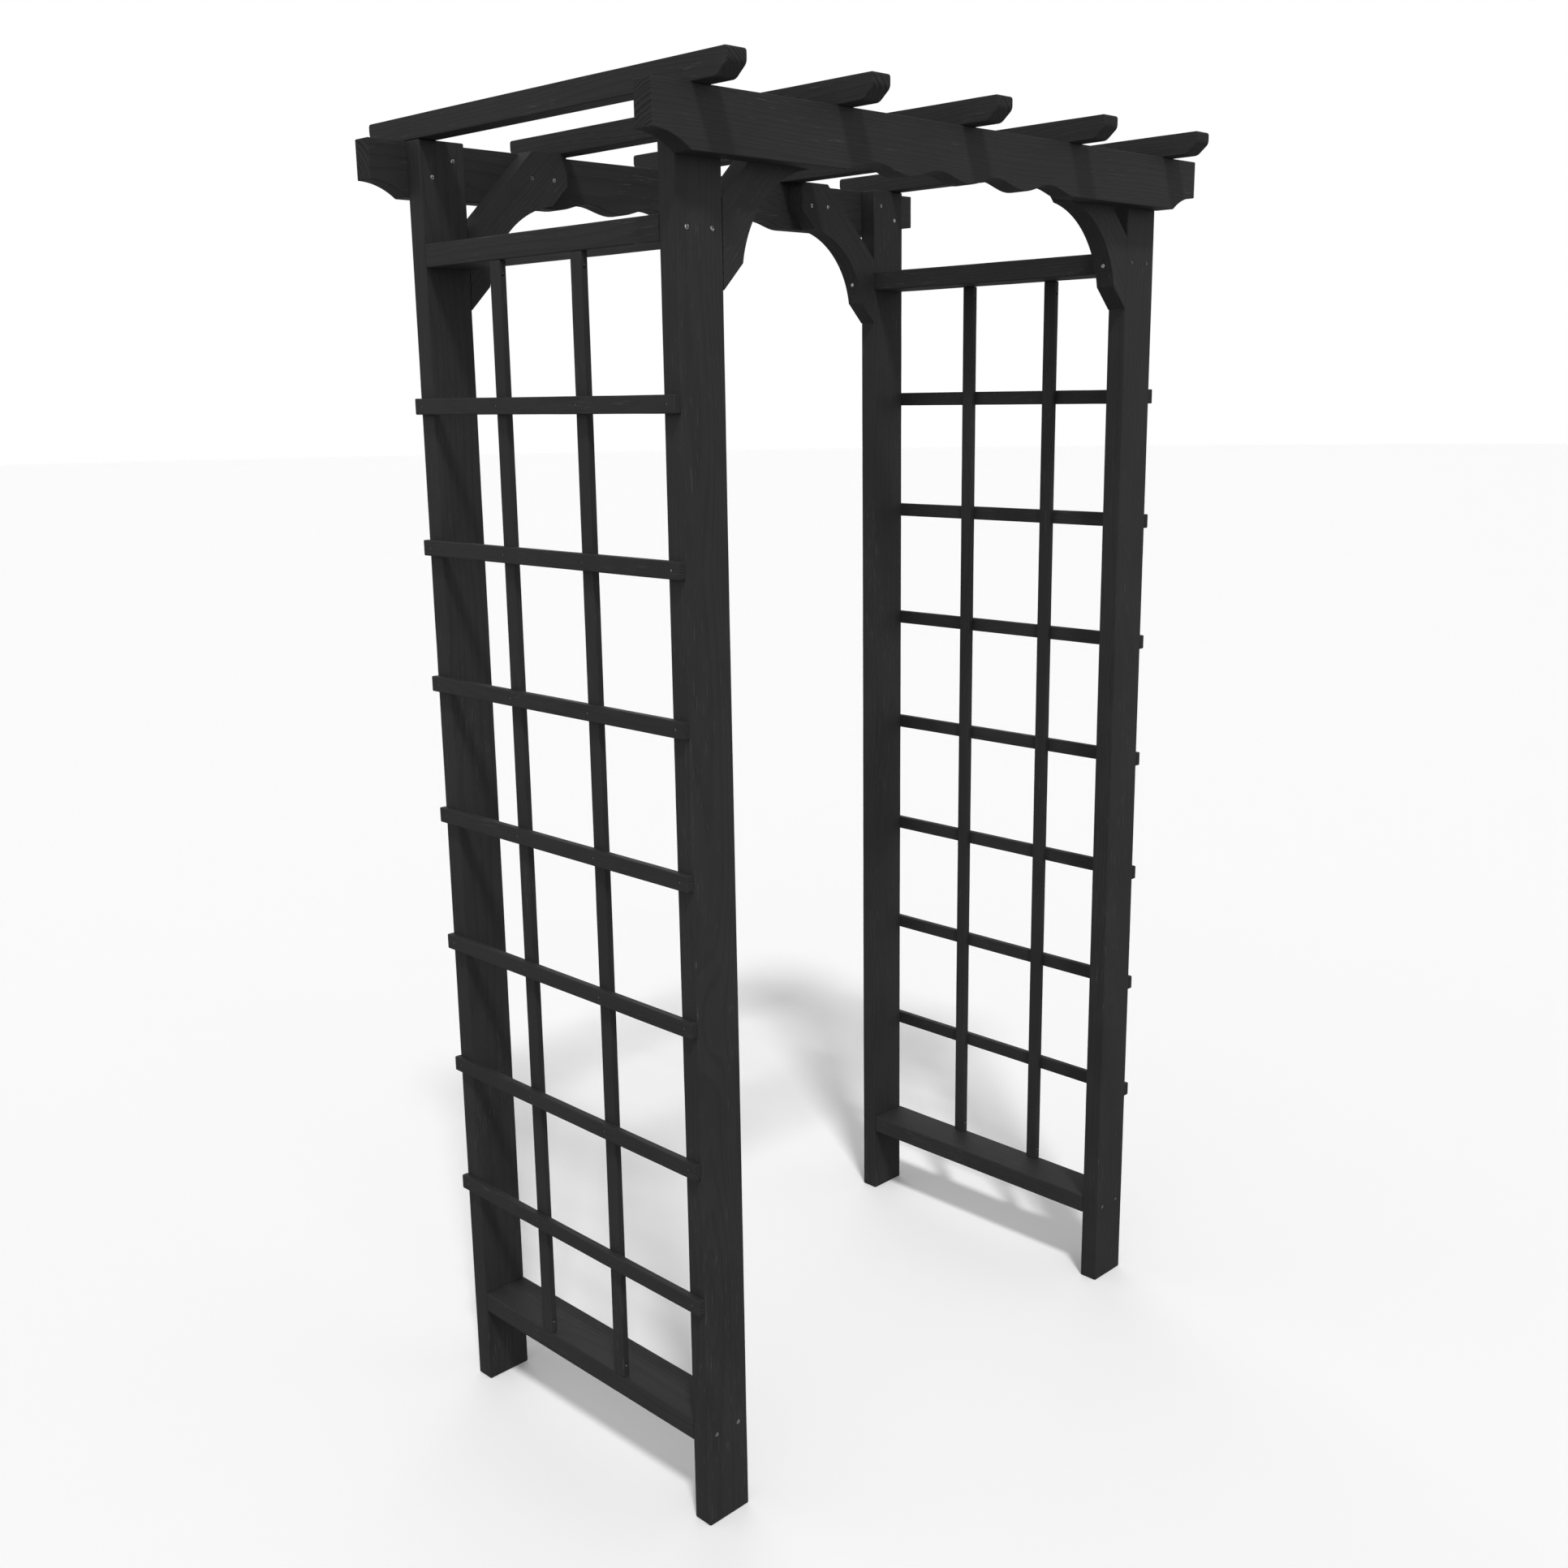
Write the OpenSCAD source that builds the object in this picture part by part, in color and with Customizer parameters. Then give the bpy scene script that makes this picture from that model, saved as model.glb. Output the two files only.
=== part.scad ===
// Timber garden arbour: two trellis side panels, two shaped beams, five rafters.
// Millimetres. X runs across the walkway, Y runs through it, Z is up.
// The origin is on the ground, midway between the four posts.

/* [Overall] */
// Width over the two side panels' posts
span_width = 1207; // [900:1:1800]
// Depth over the front and back posts
panel_depth = 670; // [500:1:1000]
// Height of the posts, from the ground to the beams' top edge
post_height = 2277; // [1900:1:2600]

/* [Posts] */
// Width of a post across the walkway
post_width = 89; // [70:1:120]
// Thickness of a post from front to back
post_thickness = 38; // [30:1:60]

/* [Beams] */
// Height of a beam's board
beam_height = 89; // [75:1:110]
// Thickness of a beam's board
beam_thickness = 38; // [30:1:60]
// How far a beam runs past the posts' outer faces
beam_overhang = 73; // [60:1:160]
// Length of the hollow curve under each end of a beam
cove_length = 70; // [40:1:80]
// Height of the hollow curve under each end of a beam
cove_height = 24; // [15:1:35]
// Length of one scallop in a beam's lower edge
scallop_length = 147; // [110:1:150]
// Height of one scallop in a beam's lower edge
scallop_height = 14; // [6:1:22]

/* [Rafters] */
// Width of a rafter
rafter_width = 38; // [30:1:60]
// Height of a rafter
rafter_height = 38; // [30:1:60]
// How far a rafter runs past the beams' outer faces
rafter_overhang = 72; // [40:1:140]
// How far the outer rafters' faces sit inside the posts' outer faces
rafter_inset = 0; // [0:1:40]
// Length of the slant cut under a rafter's ends
slant_length = 22; // [10:1:35]
// Height of the slant cut under a rafter's ends
slant_height = 18; // [10:1:25]

/* [Braces] */
// Width of the board a brace is cut from
brace_width = 91; // [80:1:105]
// Thickness of a brace
brace_thickness = 38; // [30:1:38]
// From the beams' top edge down to a brace's lower tip
brace_reach = 270; // [255:1:330]
// From the post's inner edge to the plumb cut at a brace's upper end
brace_run = 216; // [205:1:250]
// From the lower tip along the board's edge to the start of the scoop
scoop_start = 56; // [45:1:70]
// Length of the scoop along the board's edge
scoop_length = 200; // [160:1:215]
// Depth of the scoop at its middle
scoop_depth = 33; // [15:1:40]

/* [Rails] */
// Width of a rail, which lies flat between a front and a back post
rail_width = 89; // [70:1:120]
// Thickness of a rail
rail_thickness = 38; // [30:1:60]
// From the posts' tops down to the top rail's upper face
top_rail_drop = 166; // [130:1:260]
// From the ground up to the bottom rail's under face
bottom_rail_clearance = 146; // [60:1:250]

/* [Laths] */
// Width of a trellis lath
lath_width = 27; // [20:1:45]
// Thickness of a trellis lath
lath_thickness = 13; // [10:1:20]

/* [Fixings] */
// Diameter of a wood screw's head
screw_head_diameter = 8; // [6:0.5:10]
// Diameter of a wood screw's shank
screw_shank_diameter = 4.2; // [3:0.1:5.5]
// Diameter of a lath nail's head
nail_head_diameter = 5; // [3.5:0.5:7]
// Diameter of a lath nail's shank
nail_shank_diameter = 2; // [1.6:0.1:3]
// How far the screw and nail heads sit under the timber's surface
head_sink = 0.6; // [0.2:0.1:1.5]

/* [Hidden] */
$fn = 48;

// Counts that fix the list of nodes
slat_count = 7;
upright_count = 2;
rafter_count = 5;
scallop_count = 4;

// Eased arris along the edges of the sawn timber
arris = 2;
// Steps in one scallop's smooth curve
scallop_steps = 16;
// Reach of a cutting shape past the surface it cuts
past = 20;

// Screws: the part of the shank that bites into the second board
rail_screw_bite = 40;
beam_screw_bite = 26;
rafter_screw_bite = 35;
brace_screw_bite = 30;
// Screws: spacing of each pair
rail_screw_spacing = 49;
beam_screw_spacing_x = 42;
beam_screw_spacing_z = 28;
// Screws through a brace's upper end, from the post's inner edge
brace_head_screws = [140, 188];
// Screw through a brace's lower end, above the lower tip
brace_foot_screw_rise = 77;
// Depth of the cone under a screw's head, and of the cross recess in it
screw_head_depth = 3.2;
recess_depth = 1.8;
recess_length = 4.4;
recess_width = 0.9;
// Nails: bite into the post, and the wood left behind a nail in a lath
slat_nail_bite = 28;
lath_nail_cover = 3;
nail_head_depth = 1;
// Toe nails that hold the uprights' ends to the rails
toe_nail_length = 42;
toe_nail_lean = 32;
toe_nail_rise = 22;

// Panels
outer_face = span_width / 2;
inner_face = outer_face - post_width;
rail_middle = outer_face - rail_width / 2;
post_middle_y = panel_depth / 2 - post_thickness / 2;
bay_depth = panel_depth - 2 * post_thickness;

// Heights
beam_bottom = post_height - beam_height;
top_rail_top = post_height - top_rail_drop;
top_rail_bottom = top_rail_top - rail_thickness;
bottom_rail_top = bottom_rail_clearance + rail_thickness;
rail_middles = [bottom_rail_top - rail_thickness / 2, top_rail_top - rail_thickness / 2];

// Trellis: equal gaps between the rails and between the posts
slat_gap = (top_rail_bottom - bottom_rail_top - slat_count * lath_width) / (slat_count + 1);
upright_gap = (bay_depth - upright_count * lath_width) / (upright_count + 1);
function slat_z(i) = bottom_rail_top + i * (slat_gap + lath_width) - lath_width / 2;
function upright_y(i) = -bay_depth / 2 + i * (upright_gap + lath_width) - lath_width / 2;

// Roof
beam_middle_y = panel_depth / 2 + beam_thickness / 2;
beam_half_length = outer_face + beam_overhang;
scallop_half_run = scallop_count * scallop_length / 2;
rafter_length = panel_depth + 2 * beam_thickness + 2 * rafter_overhang;
rafter_edge_x = outer_face - rafter_inset - rafter_width / 2;
function rafter_x(i) = -rafter_edge_x + (i - 1) * 2 * rafter_edge_x / (rafter_count - 1);

// Braces: the board lies at 45 degrees, and the scoop is one arc with this radius
scoop_radius = (pow(scoop_length / 2, 2) + pow(scoop_depth, 2)) / (2 * scoop_depth);
brace_tip_z = post_height - brace_reach;
scoop_centre_run = (scoop_start + scoop_length / 2) / sqrt(2);
scoop_centre_push = (scoop_radius - scoop_depth) / sqrt(2);
scoop_centre = [inner_face - scoop_centre_run - scoop_centre_push,
                brace_tip_z + scoop_centre_run - scoop_centre_push];
brace_back_z = brace_tip_z + brace_width * sqrt(2);
brace_foot_screw_z = brace_tip_z + brace_foot_screw_rise;
brace_foot_surface_x = scoop_centre[0]
    + sqrt(pow(scoop_radius, 2) - pow(brace_foot_screw_z - scoop_centre[1], 2));

// Screws and nails: what each passes through and its bite
rail_screw_length = post_thickness + rail_screw_bite;
beam_screw_length = post_thickness + beam_screw_bite;
brace_head_screw_length = brace_thickness + beam_screw_bite;
rafter_screw_length = rafter_height + rafter_screw_bite;
slat_nail_length = lath_thickness + slat_nail_bite;
lath_nail_length = 2 * lath_thickness - lath_nail_cover;
brace_foot_screw_length = inner_face - brace_foot_surface_x + brace_screw_bite;

SIDES = [["left", -1], ["right", 1]];
ENDS = [["front", -1], ["back", 1]];
SLATS = [1 : slat_count];
UPRIGHTS = [1 : upright_count];
RAFTERS = [1 : rafter_count];

paint = [0.19, 0.19, 0.19];
steel = [0.55, 0.55, 0.54];

// ---- Sawn timber with eased arrises ----

// Section of a board, centred, with its four corners eased
module eased_section(w, h) {
    polygon([
        [-w / 2 + arris, -h / 2], [w / 2 - arris, -h / 2],
        [w / 2, -h / 2 + arris], [w / 2, h / 2 - arris],
        [w / 2 - arris, h / 2], [-w / 2 + arris, h / 2],
        [-w / 2, h / 2 - arris], [-w / 2, -h / 2 + arris]
    ]);
}

// Board that stands up from z = 0
module standing_board(w, d, length) {
    linear_extrude(length) eased_section(w, d);
}

// Board that runs along Y, centred
module lying_board(w, h, length) {
    rotate([90, 0, 0])
        linear_extrude(length, center = true)
            eased_section(w, h);
}

// ---- Screws and nails: the head's flat is at z = 0 and the shank points down ----

module screw_shape(length) {
    rotate_extrude()
        polygon([
            [0, 0], [screw_head_diameter / 2, 0],
            [screw_shank_diameter / 2, -screw_head_depth],
            [screw_shank_diameter / 2, -length + screw_shank_diameter],
            [0, -length]
        ]);
}

module wood_screw(length) {
    difference() {
        screw_shape(length);
        for (turn = [0, 90])
            rotate(turn)
                cube([recess_length, recess_width, 2 * recess_depth], center = true);
    }
}

module screw_hole(length) {
    screw_shape(length);
    cylinder(h = past, d = screw_head_diameter);
}

module nail_shape(length) {
    rotate_extrude()
        polygon([
            [0, 0], [nail_head_diameter / 2, 0],
            [nail_head_diameter / 2, -nail_head_depth],
            [nail_shank_diameter / 2, -nail_head_depth],
            [nail_shank_diameter / 2, -length + nail_shank_diameter],
            [0, -length]
        ]);
}

module nail_hole(length) {
    nail_shape(length);
    cylinder(h = past, d = nail_head_diameter);
}

// ---- Where each group of fixings goes ----

// Through the posts into the ends of one side's rails
module at_rail_screws(side) {
    for (end = [-1, 1], z = rail_middles, row = [-1, 1])
        translate([side * rail_middle + row * rail_screw_spacing / 2,
                   end * (panel_depth / 2 - head_sink), z])
            rotate([-90 * end, 0, 0])
                children();
}

// From inside the arbour through the posts' tops into one beam
module at_beam_screws(end) {
    for (side = [-1, 1], row = [-1, 1])
        translate([side * (inner_face + post_width / 2 + row * beam_screw_spacing_x / 2),
                   end * (panel_depth / 2 - post_thickness + head_sink),
                   post_height - beam_height / 2 - row * beam_screw_spacing_z / 2])
            rotate([90 * end, 0, 0])
                children();
}

// From inside the arbour through the braces' upper ends into the beams
module at_brace_head_screws() {
    for (end = [-1, 1], side = [-1, 1], run = brace_head_screws)
        translate([side * (inner_face - run),
                   end * (panel_depth / 2 - brace_thickness + head_sink),
                   post_height - beam_height / 2])
            rotate([90 * end, 0, 0])
                children();
}

// Through the scoop at each brace's lower end into the post's inner edge
module at_brace_foot_screws() {
    for (end = [-1, 1], side = [-1, 1])
        translate([side * (brace_foot_surface_x + head_sink),
                   end * (panel_depth / 2 - brace_thickness / 2),
                   brace_foot_screw_z])
            rotate([0, -90 * side, 0])
                children();
}

// Down through the rafters into the beams' top edges
module at_rafter_screws() {
    for (end = [-1, 1], i = RAFTERS)
        translate([rafter_x(i), end * beam_middle_y, post_height + rafter_height - head_sink])
            children();
}

// Through the ends of one side's slats into the posts
module at_slat_nails(side) {
    for (end = [-1, 1], i = SLATS)
        translate([side * (outer_face + lath_thickness - head_sink),
                   end * post_middle_y, slat_z(i)])
            rotate([0, 90 * side, 0])
                children();
}

// Where one side's slats cross its uprights
module at_lath_nails(side) {
    for (i = SLATS, j = UPRIGHTS)
        translate([side * (outer_face + lath_thickness - head_sink), upright_y(j), slat_z(i)])
            rotate([0, 90 * side, 0])
                children();
}

// At the slant through the ends of one side's uprights into its rails
module at_toe_nails(side) {
    for (j = UPRIGHTS, up = [-1, 1])
        translate([side * (outer_face - lath_thickness / 2),
                   upright_y(j) - lath_width / 2 + head_sink,
                   up < 0 ? bottom_rail_top + toe_nail_rise : top_rail_bottom - toe_nail_rise])
            rotate([up < 0 ? toe_nail_lean : 180 - toe_nail_lean, 0, 0])
                children();
}

// ---- Side panels ----

module post(side, end) {
    color(paint)
        difference() {
            translate([side * (outer_face - post_width / 2), end * post_middle_y, 0])
                standing_board(post_width, post_thickness, post_height);
            at_rail_screws(side) screw_hole(rail_screw_length);
            at_beam_screws(end) screw_hole(beam_screw_length);
            at_brace_foot_screws() screw_hole(brace_foot_screw_length);
            at_slat_nails(side) nail_hole(slat_nail_length);
        }
}

module rail(side, z) {
    color(paint)
        difference() {
            translate([side * rail_middle, 0, z])
                lying_board(rail_width, rail_thickness, bay_depth);
            at_rail_screws(side) screw_hole(rail_screw_length);
            at_toe_nails(side) nail_shape(toe_nail_length);
        }
}

module slat(side, i) {
    color(paint)
        difference() {
            translate([side * (outer_face + lath_thickness / 2), 0, slat_z(i)])
                lying_board(lath_thickness, lath_width, panel_depth);
            at_slat_nails(side) nail_hole(slat_nail_length);
            at_lath_nails(side) nail_hole(lath_nail_length);
        }
}

module upright(side, i) {
    color(paint)
        difference() {
            translate([side * (outer_face - lath_thickness / 2), upright_y(i), bottom_rail_top])
                standing_board(lath_thickness, lath_width, top_rail_bottom - bottom_rail_top);
            at_lath_nails(side) nail_hole(lath_nail_length);
            at_toe_nails(side) nail_hole(toe_nail_length);
        }
}

// ---- Beams ----

// Height of the scalloped edge above the board's edge, at x from the middle
function scallop_rise(x) = scallop_height * (1 - cos(360 * x / scallop_length)) / 2;

module beam_outline() {
    steps = scallop_count * scallop_steps;
    cove_radius = (pow(cove_length, 2) + pow(cove_height, 2)) / (2 * cove_height);
    difference() {
        polygon(concat(
            [[beam_half_length, 0], [beam_half_length, beam_height],
             [-beam_half_length, beam_height], [-beam_half_length, 0]],
            [for (i = [0 : steps])
                let (x = -scallop_half_run + i * 2 * scallop_half_run / steps)
                [x, scallop_rise(x)]]
        ));
        for (side = [-1, 1])
            translate([side * beam_half_length, cove_height - cove_radius])
                circle(r = cove_radius, $fn = 96);
    }
}

module beam(end) {
    color(paint)
        difference() {
            translate([0, end * beam_middle_y, beam_bottom])
                rotate([90, 0, 0])
                    linear_extrude(beam_thickness, center = true)
                        beam_outline();
            at_beam_screws(end) screw_hole(beam_screw_length);
            at_brace_head_screws() screw_hole(brace_head_screw_length);
            at_rafter_screws() screw_hole(rafter_screw_length);
        }
}

// ---- Rafters ----

// Side view of a rafter, with both lower corners cut at a slant
module rafter_outline() {
    half = rafter_length / 2;
    polygon([
        [-half + slant_length, 0], [half - slant_length, 0],
        [half, slant_height], [half, rafter_height],
        [-half, rafter_height], [-half, slant_height]
    ]);
}

module rafter(i) {
    color(paint)
        difference() {
            translate([rafter_x(i), 0, post_height])
                rotate([90, 0, 90])
                    linear_extrude(rafter_width, center = true)
                        rafter_outline();
            at_rafter_screws() screw_hole(rafter_screw_length);
        }
}

// ---- Braces ----

// Right-hand brace in the X-Z plane: plumb cut on the post, level cut at the
// beam's top edge, plumb cut at the upper end, and one scoop in the lower edge
module brace_outline() {
    upper_x = inner_face - brace_run;
    difference() {
        polygon([
            [inner_face, brace_tip_z],
            [inner_face, brace_back_z],
            [inner_face - (post_height - brace_back_z), post_height],
            [upper_x, post_height],
            [upper_x, brace_tip_z + brace_run]
        ]);
        translate(scoop_centre)
            circle(r = scoop_radius, $fn = 128);
    }
}

module brace(side, end) {
    color(paint)
        difference() {
            translate([0, end * (panel_depth / 2 - brace_thickness / 2), 0])
                mirror([side < 0 ? 1 : 0, 0, 0])
                    rotate([90, 0, 0])
                        linear_extrude(brace_thickness, center = true)
                            brace_outline();
            at_brace_head_screws() screw_hole(brace_head_screw_length);
            at_brace_foot_screws() screw_hole(brace_foot_screw_length);
        }
}

// ---- Fixings ----

module rail_screws(side) {
    color(steel) at_rail_screws(side) wood_screw(rail_screw_length);
}

module beam_screws(end) {
    color(steel) at_beam_screws(end) wood_screw(beam_screw_length);
}

module head_screws() {
    color(steel) at_brace_head_screws() wood_screw(brace_head_screw_length);
}

module foot_screws() {
    color(steel) at_brace_foot_screws() wood_screw(brace_foot_screw_length);
}

module rafter_screws() {
    color(steel) at_rafter_screws() wood_screw(rafter_screw_length);
}

module slat_nails(side) {
    color(steel) at_slat_nails(side) nail_shape(slat_nail_length);
}

module lath_nails(side) {
    color(steel) at_lath_nails(side) nail_shape(lath_nail_length);
}

module toe_nails(side) {
    color(steel) at_toe_nails(side) nail_shape(toe_nail_length);
}

// ---- Assembly ----

for (e = ENDS) {
    beam(e[1]);
    beam_screws(e[1]);
    for (s = SIDES) {
        post(s[1], e[1]);
        brace(s[1], e[1]);
    }
}
for (s = SIDES) {
    rail(s[1], rail_middles[1]);
    rail(s[1], rail_middles[0]);
    rail_screws(s[1]);
    slat_nails(s[1]);
    lath_nails(s[1]);
    toe_nails(s[1]);
    for (i = SLATS) {
        slat(s[1], i);
    }
    for (i = UPRIGHTS) {
        upright(s[1], i);
    }
}
for (i = RAFTERS) {
    rafter(i);
}
head_screws();  // brace_head_screws
foot_screws();  // brace_foot_screws
rafter_screws();
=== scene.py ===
import itertools
import math
import random

import bmesh
import bpy
from mathutils import Matrix, Vector, noise


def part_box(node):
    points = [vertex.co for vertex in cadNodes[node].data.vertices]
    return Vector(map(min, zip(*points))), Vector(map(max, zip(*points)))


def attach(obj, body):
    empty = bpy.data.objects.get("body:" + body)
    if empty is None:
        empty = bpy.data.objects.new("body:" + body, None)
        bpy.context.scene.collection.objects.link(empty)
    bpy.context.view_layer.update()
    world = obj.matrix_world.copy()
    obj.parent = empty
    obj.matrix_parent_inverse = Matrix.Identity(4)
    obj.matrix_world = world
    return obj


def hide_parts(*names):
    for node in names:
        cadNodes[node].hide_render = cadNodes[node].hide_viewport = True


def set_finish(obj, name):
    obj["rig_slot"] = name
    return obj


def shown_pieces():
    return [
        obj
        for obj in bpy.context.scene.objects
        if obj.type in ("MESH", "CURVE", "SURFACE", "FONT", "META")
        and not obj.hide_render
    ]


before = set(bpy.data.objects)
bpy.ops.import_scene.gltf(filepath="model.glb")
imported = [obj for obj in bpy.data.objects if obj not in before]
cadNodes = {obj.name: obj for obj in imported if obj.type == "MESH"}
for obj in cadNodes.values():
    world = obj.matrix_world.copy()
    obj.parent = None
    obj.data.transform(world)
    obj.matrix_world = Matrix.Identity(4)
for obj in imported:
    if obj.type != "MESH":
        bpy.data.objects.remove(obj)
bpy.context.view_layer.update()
scene = bpy.context.scene
print("frame loaded:", len(cadNodes), "nodes")

xAxis = Vector((1, 0, 0))
yAxis = Vector((0, 1, 0))
zAxis = Vector((0, 0, 1))


# Helpers for meshes
def finishMesh(bm, name):
    # turns a bmesh into an object at the origin
    mesh = bpy.data.meshes.new(name)
    bm.to_mesh(mesh)
    bm.free()
    piece = bpy.data.objects.new(name, mesh)
    scene.collection.objects.link(piece)
    return piece


def bakeModifiers(piece):
    # swaps the piece's mesh for the one its modifiers make
    bpy.context.view_layer.update()
    graph = bpy.context.evaluated_depsgraph_get()
    mesh = bpy.data.meshes.new_from_object(piece.evaluated_get(graph), depsgraph=graph,
                                           preserve_all_data_layers=True)
    piece.modifiers.clear()
    piece.data = mesh
    mesh.name = piece.name


def lathe(profile, steps):
    # turns a profile of (radius, height) points round the Z axis into a closed shape
    bm = bmesh.new()
    verts = [bm.verts.new((radius, 0, height)) for radius, height in profile]
    edges = [bm.edges.new(pair) for pair in zip(verts, verts[1:])]
    bmesh.ops.spin(bm, geom=verts + edges, cent=(0, 0, 0), axis=(0, 0, 1),
                   angle=math.tau, steps=steps, use_merge=True)
    bmesh.ops.remove_doubles(bm, verts=bm.verts[:], dist=1e-6)
    bmesh.ops.recalc_face_normals(bm, faces=bm.faces[:])
    return bm


def addShape(bm, shape, place):
    # copies one mesh into a bmesh at a place
    before = len(bm.verts)
    bm.from_mesh(shape)
    bm.verts.ensure_lookup_table()
    bmesh.ops.transform(bm, matrix=place, verts=bm.verts[before:])


# Where the screws and nails are
weld = 1e-5                # points closer than this are one
rimSlack = 2e-5            # how far a point of a head's rim may lie inside its reach


def fixingSpots(node):
    # head centre, axis from tip to head, head radius and length of each fixing in a node
    bm = bmesh.new()
    bm.from_mesh(cadNodes[node].data)
    bmesh.ops.remove_doubles(bm, verts=bm.verts[:], dist=weld)
    spots = []
    left = set(bm.verts)
    for start in bm.verts:
        if start not in left:
            continue
        left.remove(start)
        island = [start]
        for vert in island:
            near = [edge.other_vert(vert) for edge in vert.link_edges]
            fresh = [other for other in near if other in left]
            left.difference_update(fresh)
            island.extend(fresh)
        places = [vert.co.copy() for vert in island]
        middle = sum(places, Vector()) / len(places)
        tip = max(places, key=lambda place: (place - middle).length)
        reach = max((place - tip).length for place in places)
        rim = [place for place in places if (place - tip).length > reach - rimSlack]
        head = sum(rim, Vector()) / len(rim)
        spots.append({
            "head": head,
            "axis": (head - tip).normalized(),
            "radius": (rim[0] - head).length,
            "length": (head - tip).length,
            "kind": "screw" if node.endswith("screws") else "nail",
        })
    bm.free()
    return sorted(spots, key=lambda spot: spot["head"].to_tuple(4))


fixingNodes = sorted(node for node in cadNodes if node.endswith(("_screws", "_nails")))
boardNodes = sorted(node for node in cadNodes if node not in fixingNodes)
fixings = {node: fixingSpots(node) for node in fixingNodes}
print("fixings found:", sum(len(spots) for spots in fixings.values()))

screw = {
    "headDepth": 0.0032,
    "shank": 0.0021,       # radius of the plain shank
    "threadRoot": 0.0015,
    "threadPitch": 0.0026,
    "recess": 0.0044,      # length of the cross recess
    "recessWidth": 0.00095,
    "recessDepth": 0.0020,
    "recessTaper": (0.45, 0.7),    # bottom of the recess over its top, in length and width
    "neck": 0.45,          # share of the length that has no thread
    "point": 0.004,
    "steps": 28,
}
nail = {
    "headDepth": 0.0010,
    "shank": 0.0010,
    "dome": 0.00030,
    "point": 0.003,
    "steps": 20,
}
pocket = {"clearance": 0.00035, "shankClearance": 0.0002, "rise": 0.004, "steps": 20}


def spotPlace(spot):
    # stands a shape that points up the Z axis on a fixing's head
    place = spot["axis"].to_track_quat("Z", "Y").to_matrix().to_4x4()
    place.translation = spot["head"]
    return place


def crossCutter():
    # two wedges that narrow towards the bottom of a screw's recess
    bm = bmesh.new()
    for turn in (0, math.pi / 2):
        made = bmesh.ops.create_cube(bm, size=1)["verts"]
        for vert in made:
            shorter, narrower = screw["recessTaper"] if vert.co.z < 0 else (1.0, 1.0)
            vert.co.x *= screw["recess"] * shorter
            vert.co.y *= screw["recessWidth"] * narrower
            vert.co.z *= 2 * screw["recessDepth"]
        bmesh.ops.rotate(bm, cent=(0, 0, 0), matrix=Matrix.Rotation(turn, 3, "Z"), verts=made)
    return finishMesh(bm, "recessCutter")


def screwShape(radius, length):
    # countersunk head with a rounded rim, plain neck and a thread cut to a point
    neck = screw["neck"] * length
    profile = [
        (0, 0), (radius - 0.0005, 0), (radius - 0.00015, -0.00012), (radius, -0.0004),
        (radius - 0.0001, -0.0007), (screw["shank"], -screw["headDepth"]),
        (screw["shank"], -neck),
    ]
    turns = int((length - neck - screw["point"]) / screw["threadPitch"])
    for turn in range(turns):
        height = -neck - 0.0008 - turn * screw["threadPitch"]
        profile += [
            (screw["threadRoot"], height),
            (screw["threadRoot"], height - 0.6 * screw["threadPitch"]),
            (screw["shank"], height - 0.8 * screw["threadPitch"]),
        ]
    profile += [(screw["threadRoot"], -length + screw["point"]), (0, -length)]
    piece = finishMesh(lathe(profile, screw["steps"]), "screwShape")
    cutter = crossCutter()
    cut = piece.modifiers.new("recess", "BOOLEAN")
    cut.operation = "DIFFERENCE"
    cut.solver = "EXACT"
    cut.use_self = True
    cut.object = cutter
    bakeModifiers(piece)
    bpy.data.objects.remove(cutter)
    shape = piece.data
    bpy.data.objects.remove(piece)
    return shape


def nailShape(radius, length):
    # low domed head over a round shank with a cut point
    profile = [
        (0, nail["dome"]), (0.45 * radius, 0.85 * nail["dome"]),
        (0.8 * radius, 0.4 * nail["dome"]), (radius, -0.0002),
        (radius, -0.7 * nail["headDepth"]), (nail["shank"] + 0.0004, -nail["headDepth"]),
        (nail["shank"], -nail["headDepth"] - 0.0005), (nail["shank"], -length + nail["point"]),
        (0, -length),
    ]
    bm = lathe(profile, nail["steps"])
    shape = bpy.data.meshes.new("nailShape")
    bm.to_mesh(shape)
    bm.free()
    return shape


def holeShape(spot):
    # the hole that a fixing sits in, with an open pocket over its head
    radius = spot["radius"] + pocket["clearance"]
    sizes = screw if spot["kind"] == "screw" else nail
    shank = sizes["shank"] + pocket["shankClearance"]
    return lathe([
        (0, pocket["rise"]), (radius, pocket["rise"]), (radius, -0.0003),
        (shank, -sizes["headDepth"] - 0.0004), (shank, -spot["length"]),
        (0, -spot["length"] - 0.0006),
    ], pocket["steps"])


# Boards
timber = {
    "step": 0.045,         # length of board between two cross cuts of its mesh
    "rows": 4,
    "arrisSteps": 3,
    "sharp": math.radians(24),
    "crisp": math.radians(42),
    "bow": 0.0007,         # most that a board strays from straight
    "bowTurns": 1.3,       # how often it strays, in a metre
    "ripple": 0.00022,     # most that its faces rise and fall
    "rippleTurns": 16,
    "heartAcross": (-0.05, 0.09),  # the middle of the tree, from the board's middle
    "heartUnder": (0.02, 0.11),
}


def evenStops(low, high, step):
    # places from low to high, a step apart or a little less
    count = max(1, math.ceil((high - low) / step))
    return [low + (high - low) * i / count for i in range(count + 1)]


def boardPlace(box, along, across):
    # matrix of a board's own axes, centred in its CAD box, and its size on those axes
    low, high = box
    through = along.cross(across)
    place = Matrix((along, across, through)).transposed().to_4x4()
    place.translation = (low + high) / 2
    size = [abs((high - low).dot(axis)) for axis in (along, across, through)]
    return place, size


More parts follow.
